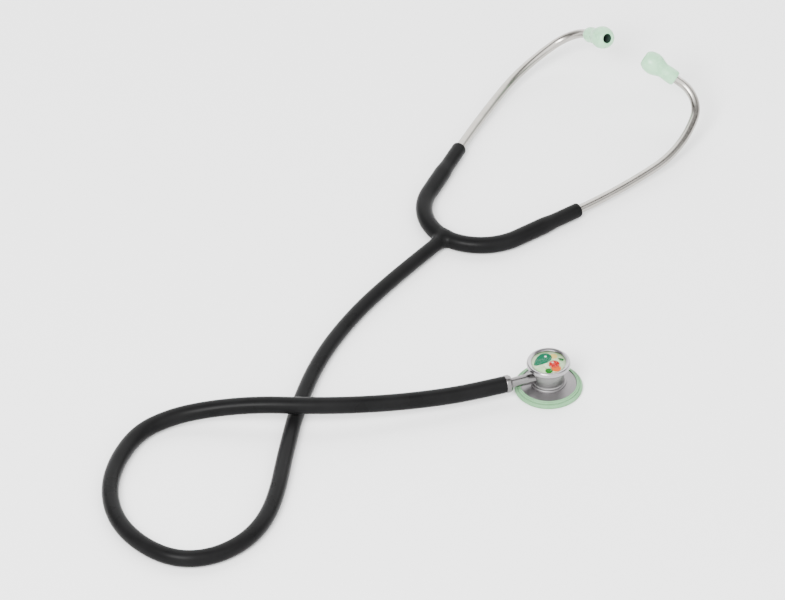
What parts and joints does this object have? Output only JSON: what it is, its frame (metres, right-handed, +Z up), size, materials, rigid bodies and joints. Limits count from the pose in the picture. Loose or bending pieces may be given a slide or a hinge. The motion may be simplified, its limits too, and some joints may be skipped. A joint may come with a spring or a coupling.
{
  "type": "stethoscope",
  "caption": "Dual-head stethoscope lying with its rubber tube in a crossing loop, bent steel ear tubes and soft ear tips.",
  "frame": {"origin": "centre of the large diaphragm's face, on the surface that the stethoscope lies on", "axes": "+Z up; +X along the stem from the rubber tube to the chestpiece"},
  "size_m": [0.4229, 0.3487, 0.0423],
  "materials": {
    "satin_steel": "satin, turned",
    "polished_rim": "polished",
    "mint_ring": "satin, fine turned grooves",
    "membrane": "satin glass-fibre disc",
    "clear_cover": "clear plastic",
    "picture": "printed film",
    "spring_steel": "ground",
    "seal_rubber": "matte",
    "tube_rubber": "satin black",
    "ear_tube_steel": "satin, drawn lengthwise",
    "tip_silicone": "soft translucent silicone",
    "bush_brass": "turned"
  },
  "bodies": {
    "root": {"main_tube": "tube_rubber", "yoke_hub": "tube_rubber", "leaf_spring": "spring_steel", "stem": "satin_steel", "stem_collar": "satin_steel", "stem_seal": "seal_rubber"},
    "chestpiece": {"chest_body": "satin_steel", "non_chill_ring": "mint_ring", "large_diaphragm": "membrane", "small_rim": "polished_rim", "picture_disc": "picture", "small_diaphragm": "clear_cover", "detent_ball": "spring_steel", "detent_spring": "spring_steel", "detent_screw": "spring_steel"},
    "left_arm": {"left_arm_sleeve": "tube_rubber"},
    "left_ear": {"left_ear_tube": "ear_tube_steel"},
    "left_tip": {"left_ear_tip": "tip_silicone", "left_tip_bush": "bush_brass"},
    "right_arm": {"right_arm_sleeve": "tube_rubber"},
    "right_ear": {"right_ear_tube": "ear_tube_steel"},
    "right_tip": {"right_ear_tip": "tip_silicone", "right_tip_bush": "bush_brass"}
  },
  "joints": [
    {"name": "chest_swivel", "type": "hinge", "parent": "root", "child": "chestpiece", "pos_m": [0, 0, 0.0095], "axis": [1, 0, 0], "continuous": true},
    {"name": "left_arm_spread", "type": "hinge", "parent": "root", "child": "left_arm", "pos_m": [-0.01695, 0.155, 0.0048], "axis": [0, 0, 1], "range_deg": [0, 25], "stiffness_Nm_per_rad": 2, "deforming": ["leaf_spring"]},
    {"name": "left_ear_twist", "type": "hinge", "parent": "left_arm", "child": "left_ear", "pos_m": [0.02133, 0.20697, 0.0048], "axis": [-0.6826, -0.7308, 0], "range_deg": [-20, 20]},
    {"name": "left_tip_turn", "type": "hinge", "parent": "left_ear", "child": "left_tip", "pos_m": [0.1132, 0.24969, 0.02853], "axis": [0.2177, -0.8579, 0.4654], "continuous": true},
    {"name": "right_arm_spread", "type": "hinge", "parent": "root", "child": "right_arm", "pos_m": [0.00246, 0.12339, 0.0048], "axis": [0, 0, -1], "range_deg": [0, 25], "stiffness_Nm_per_rad": 2, "deforming": ["leaf_spring"]},
    {"name": "right_ear_twist", "type": "hinge", "parent": "right_arm", "child": "right_ear", "pos_m": [0.06612, 0.134, 0.0048], "axis": [0.9606, 0.2778, 0], "range_deg": [-20, 20]},
    {"name": "right_tip_turn", "type": "hinge", "parent": "right_ear", "child": "right_tip", "pos_m": [0.1458, 0.19656, 0.02853], "axis": [-0.6664, 0.5825, 0.4654], "continuous": true}
  ]
}
